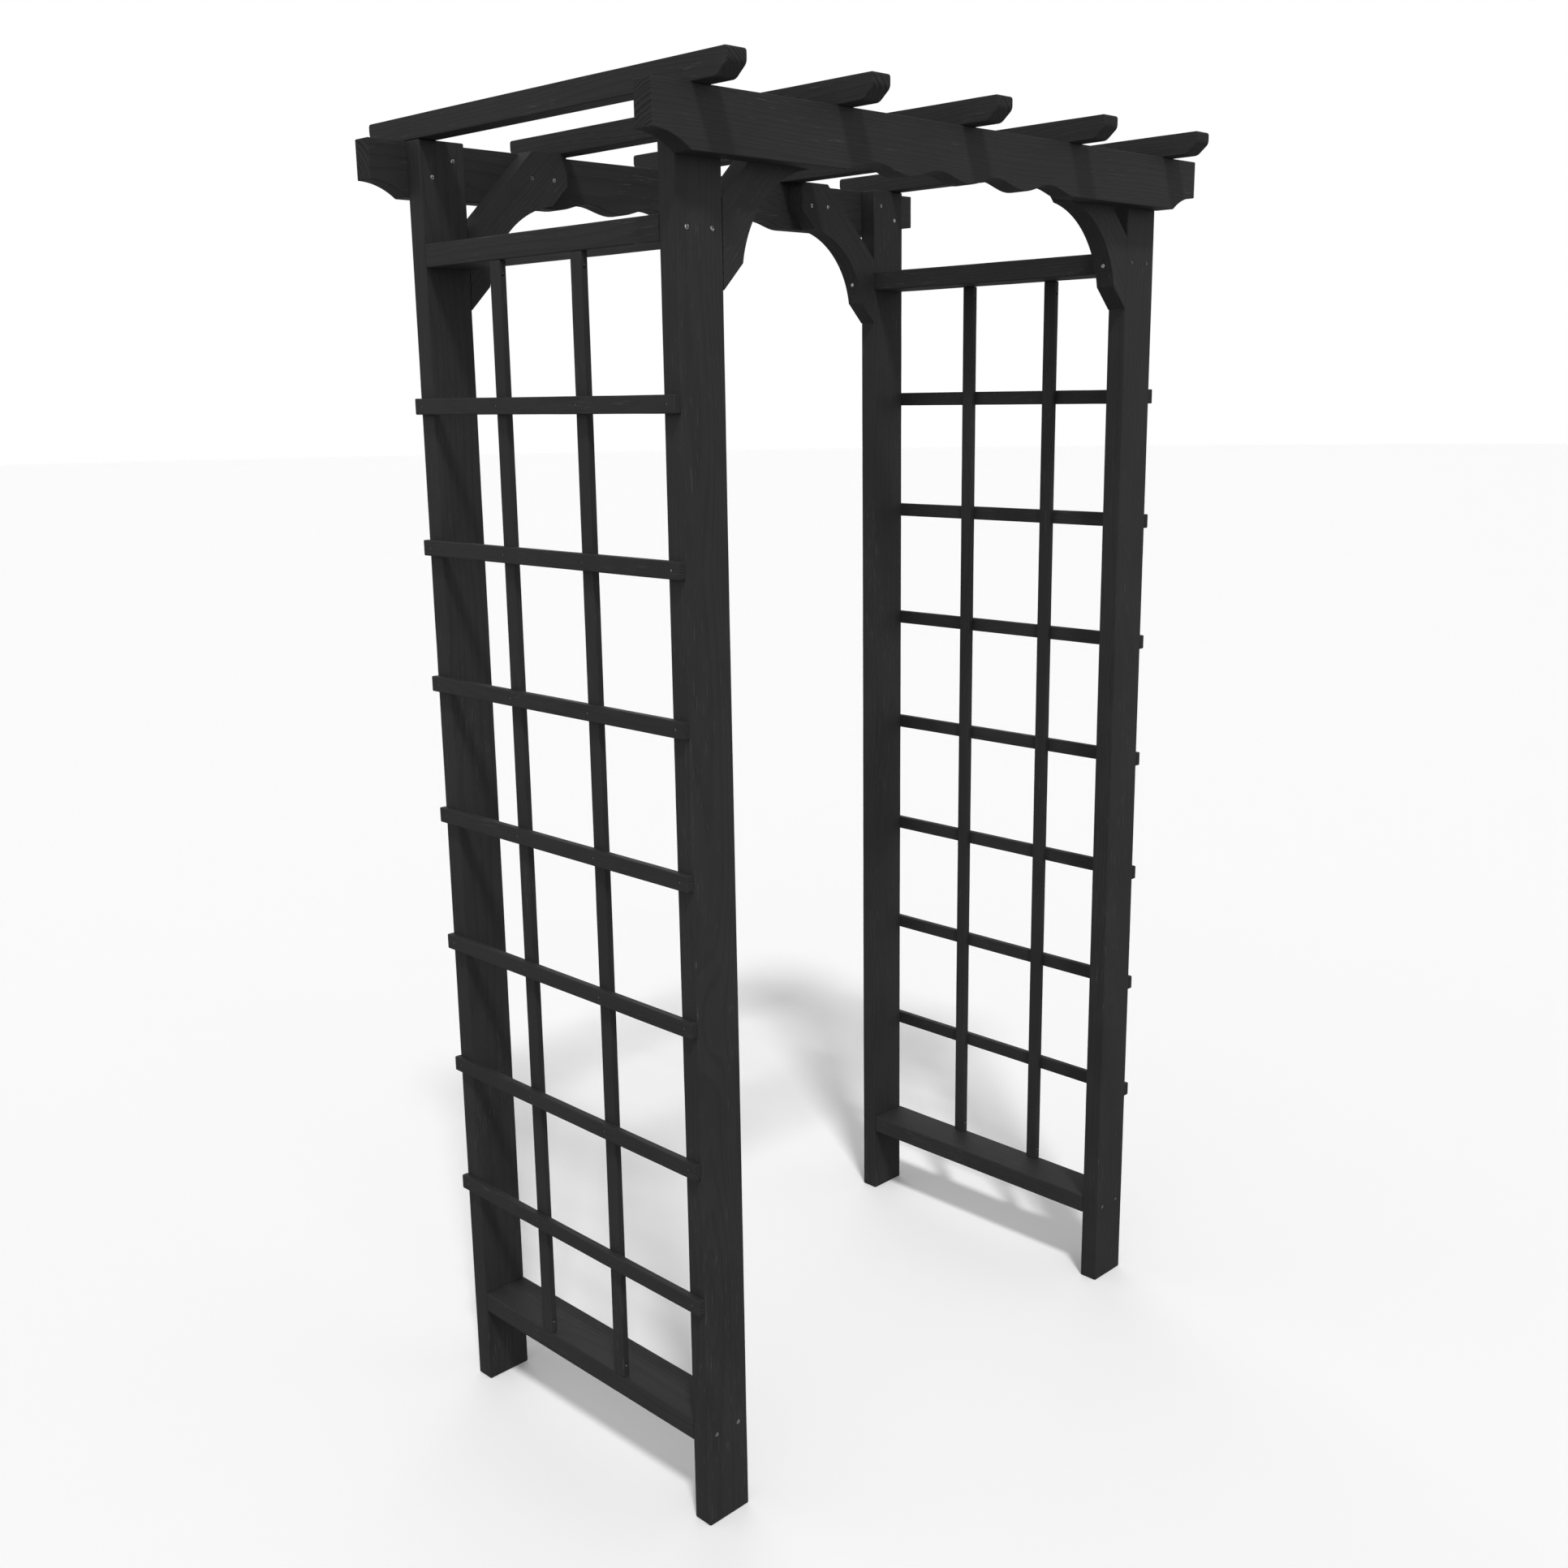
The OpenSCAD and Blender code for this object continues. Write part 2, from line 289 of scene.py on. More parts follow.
def flatShape(stops, low, high, rows):
    # flat grid with its columns at the stops, between two edges
    bm = bmesh.new()
    count = len(stops) - 1
    bmesh.ops.create_grid(bm, x_segments=count, y_segments=rows, size=0.5)
    for vert in bm.verts:
        column = round((vert.co.x + 0.5) * count)
        share = vert.co.y + 0.5
        vert.co.x = stops[column]
        vert.co.y = low + (high - low) * share
    return bm


def raiseLowerEdge(bm, rise, high):
    # lifts the lower edge by rise(x) and spreads the rows above it evenly
    low = min(vert.co.y for vert in bm.verts)
    for vert in bm.verts:
        share = (high - vert.co.y) / (high - low)
        vert.co.y += rise(vert.co.x) * share


def trim(bm, point, normal):
    # cuts away what lies beyond a line across the flat shape
    bmesh.ops.bisect_plane(bm, geom=bm.verts[:] + bm.edges[:] + bm.faces[:], dist=1e-6,
                           plane_co=point, plane_no=normal, clear_outer=True)


def thicken(bm, thickness):
    # gives the flat shape its thickness, half on each side
    made = bmesh.ops.extrude_face_region(bm, geom=bm.faces[:])["geom"]
    top = [part for part in made if isinstance(part, bmesh.types.BMVert)]
    bmesh.ops.translate(bm, vec=(0, 0, thickness), verts=top)
    bmesh.ops.translate(bm, vec=(0, 0, -thickness / 2), verts=bm.verts[:])
    bmesh.ops.recalc_face_normals(bm, faces=bm.faces[:])


def easeEdges(bm, arris):
    # rounds every sharp edge, and marks the middle of each rounding for wear and a painted
    # highlight
    wearAndHighlight = bm.verts.layers.float.new("arris")
    edges = [edge for edge in bm.edges
             if edge.is_manifold and edge.calc_face_angle() > timber["sharp"]]
    made = bmesh.ops.bevel(bm, geom=edges, offset=arris, offset_type="OFFSET",
                           affect="EDGES", segments=timber["arrisSteps"], profile=0.5,
                           material=-1, clamp_overlap=True)
    rounded = set(made["faces"])
    for vert in made["verts"]:
        if all(face in rounded for face in vert.link_faces):
            vert[wearAndHighlight] = 1.0


def unevenBoard(bm, seed, strength=1.0):
    # bends the board a hair and lets its faces rise and fall as planed timber does
    shift = Vector((seed * 7.31, seed * 3.17, seed * 1.93))
    bm.normal_update()
    for vert in bm.verts:
        along = Vector((vert.co.x * timber["bowTurns"], 0, 0)) + shift
        bow = Vector((0, noise.noise(along), noise.noise(along + shift)))
        ripple = noise.noise(vert.co * timber["rippleTurns"] + shift)
        vert.co += bow * timber["bow"] * strength
        vert.co += vert.normal * ripple * timber["ripple"]


drilling = {
    "stations": 12,        # places along a fixing that are tested against a board's box
    "slack": 1e-4,
}


def holdsPoint(box, point):
    low, high = box
    slack = drilling["slack"]
    return all(low[i] - slack < point[i] < high[i] + slack for i in range(3))


def runsInto(box, spot):
    # whether any part of a fixing lies in the box
    count = drilling["stations"]
    marks = [spot["head"] - spot["axis"] * spot["length"] * i / count
             for i in range(count + 1)]
    return any(holdsPoint(box, mark) for mark in marks)


def drill(piece, box):
    # cuts the holes of every fixing that runs into this board
    holes = bmesh.new()
    shape = bpy.data.meshes.new("hole")
    for spots in fixings.values():
        for spot in spots:
            if runsInto(box, spot):
                hole = holeShape(spot)
                hole.to_mesh(shape)
                hole.free()
                addShape(holes, shape, spotPlace(spot))
    bpy.data.meshes.remove(shape)
    if not holes.verts:
        holes.free()
        return
    cutter = finishMesh(holes, "holeCutter")
    cut = piece.modifiers.new("holes", "BOOLEAN")
    cut.operation = "DIFFERENCE"
    cut.solver = "EXACT"
    cut.object = cutter
    bakeModifiers(piece)
    bpy.data.objects.remove(cutter)


def shadeBoard(piece):
    # smooth over the roundings, flat on the faces, crisp round the holes
    piece.data.shade_smooth()
    piece.data.set_sharp_from_angle(angle=timber["crisp"])
    flat = piece.modifiers.new("flat faces", "WEIGHTED_NORMAL")
    flat.mode = "FACE_AREA"
    flat.weight = 100
    flat.keep_sharp = True
    bakeModifiers(piece)


def markGrain(piece, place, heart, seed):
    # each point's place in the tree that the board was sawn from, and the sawn ends
    back = place.inverted()
    offset = Vector((seed * 2.7, heart[0], heart[1]))
    mesh = piece.data
    grain = mesh.attributes.new("grainPlace", "FLOAT_VECTOR", "POINT")
    for vert, item in zip(mesh.vertices, grain.data):
        item.vector = back @ vert.co + offset
    ends = mesh.attributes.new("endGrain", "FLOAT", "FACE")
    turn = back.to_3x3()
    for face, item in zip(mesh.polygons, ends.data):
        item.value = abs((turn @ face.normal).x)


boardNumbers = itertools.count(1)


def makeBoard(node, bm, place, slot, strength=1.0):
    # takes a thick, eased board in its own axes to a finished piece in the arch
    number = next(boardNumbers)
    dice = random.Random(number * 17)
    heart = (dice.uniform(*timber["heartAcross"]),
             dice.uniform(*timber["heartUnder"]) * dice.choice((-1, 1)))
    unevenBoard(bm, number, strength)
    bmesh.ops.transform(bm, matrix=place, verts=bm.verts[:])
    bmesh.ops.recalc_face_normals(bm, faces=bm.faces[:])
    piece = finishMesh(bm, node + "_" + slot.split("_")[1])
    drill(piece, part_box(node))
    shadeBoard(piece)
    markGrain(piece, place, heart, number)
    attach(piece, "root")
    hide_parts(node)
    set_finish(piece, slot)
    return piece


def straightBoard(node, along, across, kind):
    # a plain board that fills its CAD box
    place, size = boardPlace(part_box(node), along, across)
    stops = evenStops(-size[0] / 2, size[0] / 2, timber["step"])
    bm = flatShape(stops, -size[1] / 2, size[1] / 2, kind["rows"])
    thicken(bm, size[2])
    easeEdges(bm, kind["arris"])
    return makeBoard(node, bm, place, kind["slot"], kind["bow"])


# Posts and rails: dressed boards with well rounded arrises
panel = {"arris": 0.0026, "rows": 4, "bow": 1.0, "slot": "painted_timber"}
for node in boardNodes:
    if node.endswith("_post"):
        straightBoard(node, zAxis, xAxis, panel)
    elif node.endswith("_rail"):
        straightBoard(node, yAxis, xAxis, panel)
print("posts and rails made")

# Laths: thin strips with lightly rounded edges
lath = {"arris": 0.0019, "rows": 2, "bow": 0.7, "slot": "painted_lath"}
for node in boardNodes:
    if "_slat_" in node:
        straightBoard(node, yAxis, zAxis, lath)
    elif "_upright_" in node:
        straightBoard(node, zAxis, yAxis, lath)
print("laths made")

beam = {
    "arris": 0.0016,
    "scallops": 4,
    "scallopLength": 0.147,
    "scallopHeight": 0.014,
    "scallopSteps": 14,
    "coveLength": 0.070,
    "coveHeight": 0.024,
    "coveSteps": 9,
}


def beamRise(x, half):
    # height of the sawn lower edge over the board's edge
    fromEnd = half - abs(x)
    run = beam["coveLength"]
    radius = (run ** 2 + beam["coveHeight"] ** 2) / (2 * beam["coveHeight"])
    if fromEnd < run:
        return math.sqrt(radius ** 2 - fromEnd ** 2) - (radius - beam["coveHeight"])
    if abs(x) < beam["scallops"] * beam["scallopLength"] / 2:
        turn = math.tau * x / beam["scallopLength"]
        return beam["scallopHeight"] * (1 - math.cos(turn)) / 2
    return 0.0


def makeBeam(node):
    place, size = boardPlace(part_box(node), xAxis, zAxis)
    half = size[0] / 2
    cove = half - beam["coveLength"]
    wavy = beam["scallops"] * beam["scallopLength"] / 2
    coveStep = beam["coveLength"] / beam["coveSteps"]
    waveStep = beam["scallopLength"] / beam["scallopSteps"]
    stops = evenStops(-half, -cove, coveStep)
    stops += evenStops(-cove, -wavy, timber["step"])[1:]
    stops += evenStops(-wavy, wavy, waveStep)[1:]
    stops += evenStops(wavy, cove, timber["step"])[1:]
    stops += evenStops(cove, half, coveStep)[1:]
    bm = flatShape(stops, -size[1] / 2, size[1] / 2, timber["rows"])
    raiseLowerEdge(bm, lambda x: beamRise(x, half), size[1] / 2)
    thicken(bm, size[2])
    easeEdges(bm, beam["arris"])
    return makeBoard(node, bm, place, "painted_timber")


for node in ("front_beam", "back_beam"):
    makeBeam(node)

rafter = {
    "arris": 0.0018,
    "slantLength": 0.022,
    "slantHeight": 0.018,
    "cornerRound": 0.005,
    "cornerSteps": 4,
}


def roundCorners(bm, corners):
    # rounds the flat shape where it has these corners
    near = [vert for vert in bm.verts
            if any((vert.co.xy - corner).length < weld for corner in corners)]
    bmesh.ops.bevel(bm, geom=near, offset=rafter["cornerRound"], offset_type="OFFSET",
                    affect="VERTICES", segments=rafter["cornerSteps"], profile=0.5,
                    material=-1, clamp_overlap=True)


def makeRafter(node):
    place, size = boardPlace(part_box(node), yAxis, zAxis)
    half = size[0] / 2
    stops = evenStops(-half, half, timber["step"])
    bm = flatShape(stops, -size[1] / 2, size[1] / 2, 1)
    corners = []
    for end in (-1, 1):
        corner = Vector((end * half, -size[1] / 2 + rafter["slantHeight"], 0))
        outward = Vector((end * rafter["slantHeight"], -rafter["slantLength"], 0))
        trim(bm, corner, outward)
        foot = Vector((end * (half - rafter["slantLength"]), -size[1] / 2))
        corners += [corner.xy, foot, Vector((end * half, size[1] / 2))]
    roundCorners(bm, corners)
    thicken(bm, size[2])
    easeEdges(bm, rafter["arris"])
    return makeBoard(node, bm, place, "painted_timber")


for node in boardNodes:
    if node.startswith("rafter_"):
        makeRafter(node)
print("beams and rafters made")

brace = {
    "arris": 0.0016,
    "width": 0.091,
    "scoopStart": 0.056,
    "scoopLength": 0.200,
    "scoopDepth": 0.033,
    "scoopSteps": 22,
    "tipStep": 0.014,
    "headStep": 0.020,
    "bow": 0.5,
}


def scoopRise(x):
    # depth of the scoop in the board's lower edge, x from the lower tip
    halfRun = brace["scoopLength"] / 2
    radius = (halfRun ** 2 + brace["scoopDepth"] ** 2) / (2 * brace["scoopDepth"])
    off = abs(x - brace["scoopStart"] - halfRun)
    if off >= halfRun:
        return 0.0
    return math.sqrt(radius ** 2 - off ** 2) - (radius - brace["scoopDepth"])


def makeBrace(node):
    low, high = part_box(node)
    side = 1 if low.x > 0 else -1
    postX = high.x if side > 0 else low.x
    run = high.x - low.x
    reach = high.z - low.z
    along = Vector((-side, 0, 1)).normalized()
    across = Vector((side, 0, 1)).normalized()
    through = along.cross(across)
    place = Matrix((along, across, through)).transposed().to_4x4()
    place.translation = Vector((postX, (low.y + high.y) / 2, low.z))
    scoopEnd = brace["scoopStart"] + brace["scoopLength"]
    length = (run + reach) / math.sqrt(2)
    stops = evenStops(0, brace["scoopStart"], brace["tipStep"])
    stops += evenStops(brace["scoopStart"], scoopEnd,
                       brace["scoopLength"] / brace["scoopSteps"])[1:]
    stops += evenStops(scoopEnd, length, brace["headStep"])[1:]
    bm = flatShape(stops, 0, brace["width"], timber["rows"])
    raiseLowerEdge(bm, scoopRise, brace["width"])
    trim(bm, Vector((0, 0, 0)), Vector((-1, 1, 0)))
    trim(bm, Vector((reach * math.sqrt(2), 0, 0)), Vector((1, 1, 0)))
    trim(bm, Vector((run * math.sqrt(2), 0, 0)), Vector((1, -1, 0)))
    thicken(bm, high.y - low.y)
    easeEdges(bm, brace["arris"])
    return makeBoard(node, bm, place, "painted_timber", brace["bow"])


for node in boardNodes:
    if node.endswith("_brace"):
        makeBrace(node)
print("braces made")


# How much of a head the paint has left bare, by kind and where a node differs from it
bareShare = {
    "screw": 0.55,
    "nail": 0.22,
    "right_rail_screws": 0.12,
    "brace_foot_screws": 0.80,
    "left_toe_nails": 0.05,
    "right_toe_nails": 0.05,
}
driving = {
    "turn": 2.4,           # from one head's recess to the next
    "bareSpread": 0.15,
    "crisp": math.radians(35),
}


def makeFixings(node):
    spots = fixings[node]
    kind = spots[0]["kind"]
    shapes = {}
    bm = bmesh.new()
    bare = bm.verts.layers.float.new("bare")
    dice = random.Random(node)
    for number, spot in enumerate(spots):
        size = (round(spot["radius"], 5), round(spot["length"], 5))
        if size not in shapes:
            shapes[size] = (screwShape if kind == "screw" else nailShape)(*size)
        turn = Matrix.Rotation(driving["turn"] * number, 4, "Z")
        before = len(bm.verts)
        addShape(bm, shapes[size], spotPlace(spot) @ turn)
        spread = dice.uniform(-driving["bareSpread"], driving["bareSpread"])
        share = bareShare.get(node, bareShare[kind]) + spread
        for vert in bm.verts[before:]:
            vert[bare] = share
    piece = finishMesh(bm, node + "_steel")
    piece.data.shade_smooth()
    piece.data.set_sharp_from_angle(angle=driving["crisp"])
    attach(piece, "root")
    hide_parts(node)
    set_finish(piece, "zinc_screw" if kind == "screw" else "zinc_nail")
    for shape in shapes.values():
        bpy.data.meshes.remove(shape)
    return piece


for node in fixingNodes:
    makeFixings(node)
print("fixings made")


# Helpers for materials
def feed(tree, socket, value):
    # a number or colour is set on the socket, an output is linked to it
    if isinstance(value, bpy.types.NodeSocket):
        tree.links.new(value, socket)
    else:
        socket.default_value = value


def addNode(tree, kind, inputs=(), **settings):
    made = tree.nodes.new(kind)
    for name, value in settings.items():
        setattr(made, name, value)
    for name, value in dict(inputs).items():
        feed(tree, made.inputs[name], value)
    return made


def reckon(tree, operation, *values, clamp=False):
    made = addNode(tree, "ShaderNodeMath", operation=operation, use_clamp=clamp)
    for socket, value in zip(made.inputs, values):
        feed(tree, socket, value)
    return made.outputs[0]


def stretch(tree, vector, sizes):
    made = addNode(tree, "ShaderNodeVectorMath", operation="MULTIPLY")
    feed(tree, made.inputs[0], vector)
    feed(tree, made.inputs[1], sizes)
    return made.outputs[0]


def speckle(tree, vector, scale, detail=2.0, roughness=0.5):
    made = addNode(tree, "ShaderNodeTexNoise", {
        "Vector": vector, "Scale": scale, "Detail": detail, "Roughness": roughness,
    })
    return made.outputs[0]


def remap(tree, value, low, high, toLow=0.0, toHigh=1.0):
    made = addNode(tree, "ShaderNodeMapRange", interpolation_type="SMOOTHSTEP")
    for socket, number in zip(made.inputs, (value, low, high, toLow, toHigh)):
        feed(tree, socket, number)
    return made.outputs[0]


def blendColours(tree, share, first, second):
    made = addNode(tree, "ShaderNodeMix", data_type="RGBA")
    feed(tree, made.inputs[0], share)
    feed(tree, made.inputs[6], first)
    feed(tree, made.inputs[7], second)
    return made.outputs[2]


def newGroup(name, inputs, outputs):
    # a shader group with its inputs and outputs, and the two nodes that hold them
    tree = bpy.data.node_groups.new(name, "ShaderNodeTree")
    for label, kind, value in inputs:
        socket = tree.interface.new_socket(name=label, in_out="INPUT",
                                           socket_type="NodeSocket" + kind)
        if value is not None:
            socket.default_value = value
    for label, kind in outputs:
        tree.interface.new_socket(name=label, in_out="OUTPUT",
                                  socket_type="NodeSocket" + kind)
    start = tree.nodes.new("NodeGroupInput")
    end = tree.nodes.new("NodeGroupOutput")
    return tree, start.outputs, end.inputs


def useGroup(tree, group, inputs):
    made = addNode(tree, "ShaderNodeGroup", node_tree=group)
    for name, value in inputs.items():
        feed(tree, made.inputs[name], value)
    return made.outputs


def newMaterial(name):
    material = bpy.data.materials.new(name)
    material.use_nodes = True
    tree = material.node_tree
    return material, tree, tree.nodes["Principled BSDF"]


# Effects that the materials share
rings = {
    "knotSpacing": 1.9,
    "knotStretch": (1.0, 3.2, 3.2),
    "knotEdge": (0.03, 0.09),
    "knotReach": 0.30,
    "knotBend": 2.2,       # rings that a knot pushes aside
    "wander": 0.075,       # how far the heart strays along the board
    "yearScale": 38.0,
    "yearSpread": 3.4,     # rings that good and bad years add
    "fray": 0.5,
    "early": (0.45, 0.88),
    "late": (0.93, 1.0),
}


def growthRingGroup():
    # lines of late wood round the heart of the tree, bent round the knots
    tree, given, made = newGroup("growth rings", [
        ("Grain Place", "Vector", None), ("Ring Width", "Float", 0.005),
    ], [("Late Wood", "Float"), ("Knots", "Float")])
    place = given["Grain Place"]
    knotCells = addNode(tree, "ShaderNodeTexVoronoi", {
        "Vector": stretch(tree, place, rings["knotStretch"]), "Scale": rings["knotSpacing"],
    })
    knots = remap(tree, knotCells.outputs["Distance"], *rings["knotEdge"], 1.0, 0.0)
    bend = remap(tree, knotCells.outputs["Distance"], 0.0, rings["knotReach"], 1.0, 0.0)
    wanderY = speckle(tree, stretch(tree, place, (1.1, 2.0, 2.0)), 1.0, 1.0)
    wanderZ = speckle(tree, stretch(tree, place, (0.9, 2.6, 2.3)), 1.7, 1.0)
    parts = addNode(tree, "ShaderNodeSeparateXYZ", {"Vector": place}).outputs
    offY = reckon(tree, "MULTIPLY_ADD", wanderY, rings["wander"], parts["Y"])
    offZ = reckon(tree, "MULTIPLY_ADD", wanderZ, rings["wander"], parts["Z"])
    squares = reckon(tree, "ADD", reckon(tree, "POWER", reckon(tree, "ABSOLUTE", offY), 2.0),
                     reckon(tree, "POWER", reckon(tree, "ABSOLUTE", offZ), 2.0))
    distance = reckon(tree, "SQRT", squares)
    fray = speckle(tree, stretch(tree, place, (5.0, 90.0, 90.0)), 1.0, 2.0)
    turns = reckon(tree, "DIVIDE", distance, given["Ring Width"])
    years = addNode(tree, "ShaderNodeTexNoise", {
        "W": distance, "Scale": rings["yearScale"], "Detail": 1.0,
    }, noise_dimensions="1D").outputs[0]
    turns = reckon(tree, "MULTIPLY_ADD", years, rings["yearSpread"], turns)
    turns = reckon(tree, "MULTIPLY_ADD", fray, rings["fray"], turns)
    turns = reckon(tree, "MULTIPLY_ADD", bend, rings["knotBend"], turns)
    share = reckon(tree, "FRACT", turns)
    early = remap(tree, share, *rings["early"])
    late = remap(tree, share, *rings["late"], 1.0, 0.0)
    feed(tree, made["Late Wood"], reckon(tree, "MULTIPLY", early, late))
    feed(tree, made["Knots"], knots)
    return tree


# Repeats in a metre, along the board and across it
fibre = {
    "fine": (9.0, 520.0, 520.0),
    "broad": (2.6, 120.0, 120.0),
    "dash": (26.0, 330.0, 330.0),
    "patch": (4.0, 14.0, 14.0),
    "dashEdge": (0.60, 0.72),
    "patchEdge": (0.42, 0.62),
    "liftEdge": (0.50, 0.74),
}


def fibreGroup():
    # fine streaks along the board, and short raised flecks that catch the light
    tree, given, made = newGroup("wood fibres", [
        ("Grain Place", "Vector", None),
    ], [("Streaks", "Float"), ("Flecks", "Float"), ("Lifted", "Float")])
    place = given["Grain Place"]
    fine = speckle(tree, stretch(tree, place, fibre["fine"]), 1.0, 3.0, 0.6)
    broad = speckle(tree, stretch(tree, place, fibre["broad"]), 1.0, 2.0, 0.5)
    streaks = reckon(tree, "MULTIPLY_ADD", broad, 0.5, reckon(tree, "MULTIPLY", fine, 0.5))
    dashes = speckle(tree, stretch(tree, place, fibre["dash"]), 1.0, 2.0, 0.55)
    patches = speckle(tree, stretch(tree, place, fibre["patch"]), 1.0, 2.0)
    flecks = reckon(tree, "MULTIPLY", remap(tree, dashes, *fibre["dashEdge"]),
                    remap(tree, patches, *fibre["patchEdge"]))
    feed(tree, made["Streaks"], streaks)
    feed(tree, made["Flecks"], flecks)
    feed(tree, made["Lifted"], remap(tree, dashes, *fibre["liftEdge"]))
    return tree


chip = {
    "fine": (38.0, 130.0, 130.0),
    "run": (5.0, 9.0, 9.0),
    "runShare": 0.45,
    "limit": 0.86,
    "reach": 0.42,         # how much lower the limit is where the wear and the painted highlight are full
    "edge": (-0.04, 0.07),
}


def edgeWearAndHighlightGroup():
    # where the paint is thin on the arrises, and where the arrises carry a painted highlight
    # along each edge
    tree, given, made = newGroup("edge wear", [
        ("Grain Place", "Vector", None), ("Arris", "Float", 0.0), ("Amount", "Float", 0.5),
    ], [("Mask", "Float")])
    place = given["Grain Place"]
    chips = speckle(tree, stretch(tree, place, chip["fine"]), 1.0, 4.0, 0.65)
    runs = speckle(tree, stretch(tree, place, chip["run"]), 1.0, 2.0)
    lowered = reckon(tree, "MULTIPLY", given["Amount"], chip["reach"])
    limit = reckon(tree, "SUBTRACT", chip["limit"], lowered)
    ragged = reckon(tree, "MULTIPLY", chips, 1 - chip["runShare"])
    ragged = reckon(tree, "MULTIPLY_ADD", runs, chip["runShare"], ragged)
    over = reckon(tree, "SUBTRACT", ragged, limit)
    mask = remap(tree, over, *chip["edge"])
    feed(tree, made["Mask"], reckon(tree, "MULTIPLY", mask, given["Arris"], clamp=True))
    return tree


brushing = {
    "slow": (3.0, 9.0, 9.0),
    "cloud": (12.0, 26.0, 26.0),
    "cloudShare": 0.35,
    "toneEdge": (0.30, 0.70),
    "bristle": (3.2, 240.0, 240.0),
}


def brushedPaintGroup():
    # slow change of tone and sheen over brushed paint, and the marks of the brush
    tree, given, made = newGroup("brushed paint", [
        ("Grain Place", "Vector", None),
    ], [("Tone", "Float"), ("Brush Marks", "Float")])
    place = given["Grain Place"]
    slow = speckle(tree, stretch(tree, place, brushing["slow"]), 1.0, 3.0, 0.55)
    cloud = speckle(tree, stretch(tree, place, brushing["cloud"]), 1.0, 2.0)
    tone = reckon(tree, "MULTIPLY", slow, 1 - brushing["cloudShare"])
    tone = reckon(tree, "MULTIPLY_ADD", cloud, brushing["cloudShare"], tone)
    bristles = speckle(tree, stretch(tree, place, brushing["bristle"]), 1.0, 1.0)
    feed(tree, made["Tone"], remap(tree, tone, *brushing["toneEdge"]))
    feed(tree, made["Brush Marks"], bristles)
    return tree


growthRings = growthRingGroup()
woodFibres = fibreGroup()
edgeWearAndHighlight = edgeWearAndHighlightGroup()
brushedPaint = brushedPaintGroup()


# Paint on timber
paint = {
    "hollow": (0.0144, 0.0144, 0.0146, 1),  # shadowed line beside a ridge of late wood
    "deep": (0.0213, 0.0213, 0.0216, 1),    # full coat in the hollows of the grain
    "body": (0.0287, 0.0287, 0.0289, 1),
    "pale": (0.0435, 0.0432, 0.0428, 1),    # thin coat on raised fibres
    "wornAndHighlight": (0.0770, 0.0740, 0.0700, 1),    # nearly bare arris, and a painted highlight on edges and flecks
}
finish = {
    "tone": 0.45,
    "sawnEdge": (0.5, 0.9),
    "specular": 0.12,
    "rough": 0.50,
    "roughness": {"tone": 0.14, "streaks": 0.12, "wearAndHighlight": 0.12, "sawn": 0.14},
    "relief": {"streaks": 0.55, "rings": 0.30, "lifted": 0.25, "brush": 0.22,
               "knots": 0.50, "wearAndHighlight": -0.25},
    "bump": 0.9,
}
boardLook = {"ringWidth": 0.0066, "rings": 0.22, "wearAndHighlight": 0.50, "relief": 0.00050,
             "fleck": 0.50}
lathLook = {"ringWidth": 0.0042, "rings": 0.18, "wearAndHighlight": 0.42, "relief": 0.00040,
            "fleck": 0.40}


def paintedWood(name, look):
    material, tree, shader = newMaterial(name)
    place = addNode(tree, "ShaderNodeAttribute", attribute_name="grainPlace").outputs["Vector"]
    arris = addNode(tree, "ShaderNodeAttribute", attribute_name="arris").outputs["Fac"]
    ends = addNode(tree, "ShaderNodeAttribute", attribute_name="endGrain").outputs["Fac"]
    grown = useGroup(tree, growthRings, {"Grain Place": place, "Ring Width": look["ringWidth"]})
    late, knots = grown["Late Wood"], grown["Knots"]
    fibres = useGroup(tree, woodFibres, {"Grain Place": place})
    wearAndHighlight = useGroup(tree, edgeWearAndHighlight, {
        "Grain Place": place, "Arris": arris, "Amount": look["wearAndHighlight"],
    })["Mask"]
    coat = useGroup(tree, brushedPaint, {"Grain Place": place})
    sawn = remap(tree, ends, *finish["sawnEdge"])

    streaked = blendColours(tree, fibres["Streaks"], paint["deep"], paint["body"])
    toned = blendColours(tree, reckon(tree, "MULTIPLY", coat["Tone"], finish["tone"]),
                         streaked, paint["pale"])
    # the raised flecks are painted lighter: a painted highlight where they catch the light
    flecked = blendColours(tree, reckon(tree, "MULTIPLY", fibres["Flecks"], look["fleck"]),
                           toned, paint["wornAndHighlight"])
    ringDepth = remap(tree, sawn, 0.0, 1.0, look["rings"], 1.0)
    ringed = blendColours(tree, reckon(tree, "MULTIPLY", late, ringDepth),
                          flecked, paint["hollow"])
    # the arrises are painted lighter: worn paint, and a painted highlight along each edge
    colour = blendColours(tree, wearAndHighlight, ringed, paint["wornAndHighlight"])
    feed(tree, shader.inputs["Base Color"], colour)

    rough = finish["rough"]
    matt = finish["roughness"]
    for value, share in ((coat["Tone"], matt["tone"]), (fibres["Streaks"], matt["streaks"]),
                         (wearAndHighlight, matt["wearAndHighlight"]), (sawn, matt["sawn"])):
        rough = reckon(tree, "MULTIPLY_ADD", value, share, rough)
    feed(tree, shader.inputs["Roughness"], rough)
    shader.inputs["Specular IOR Level"].default_value = finish["specular"]

    height = 0.0
    rise = finish["relief"]
    for value, share in ((fibres["Streaks"], rise["streaks"]), (late, rise["rings"]),
                         (fibres["Lifted"], rise["lifted"]),
                         (coat["Brush Marks"], rise["brush"]), (knots, rise["knots"]),
                         (wearAndHighlight, rise["wearAndHighlight"])):
        height = reckon(tree, "MULTIPLY_ADD", value, share, height)
    bump = addNode(tree, "ShaderNodeBump", {
        "Strength": finish["bump"], "Distance": look["relief"], "Height": height,
    })
    feed(tree, shader.inputs["Normal"], bump.outputs[0])
    return material


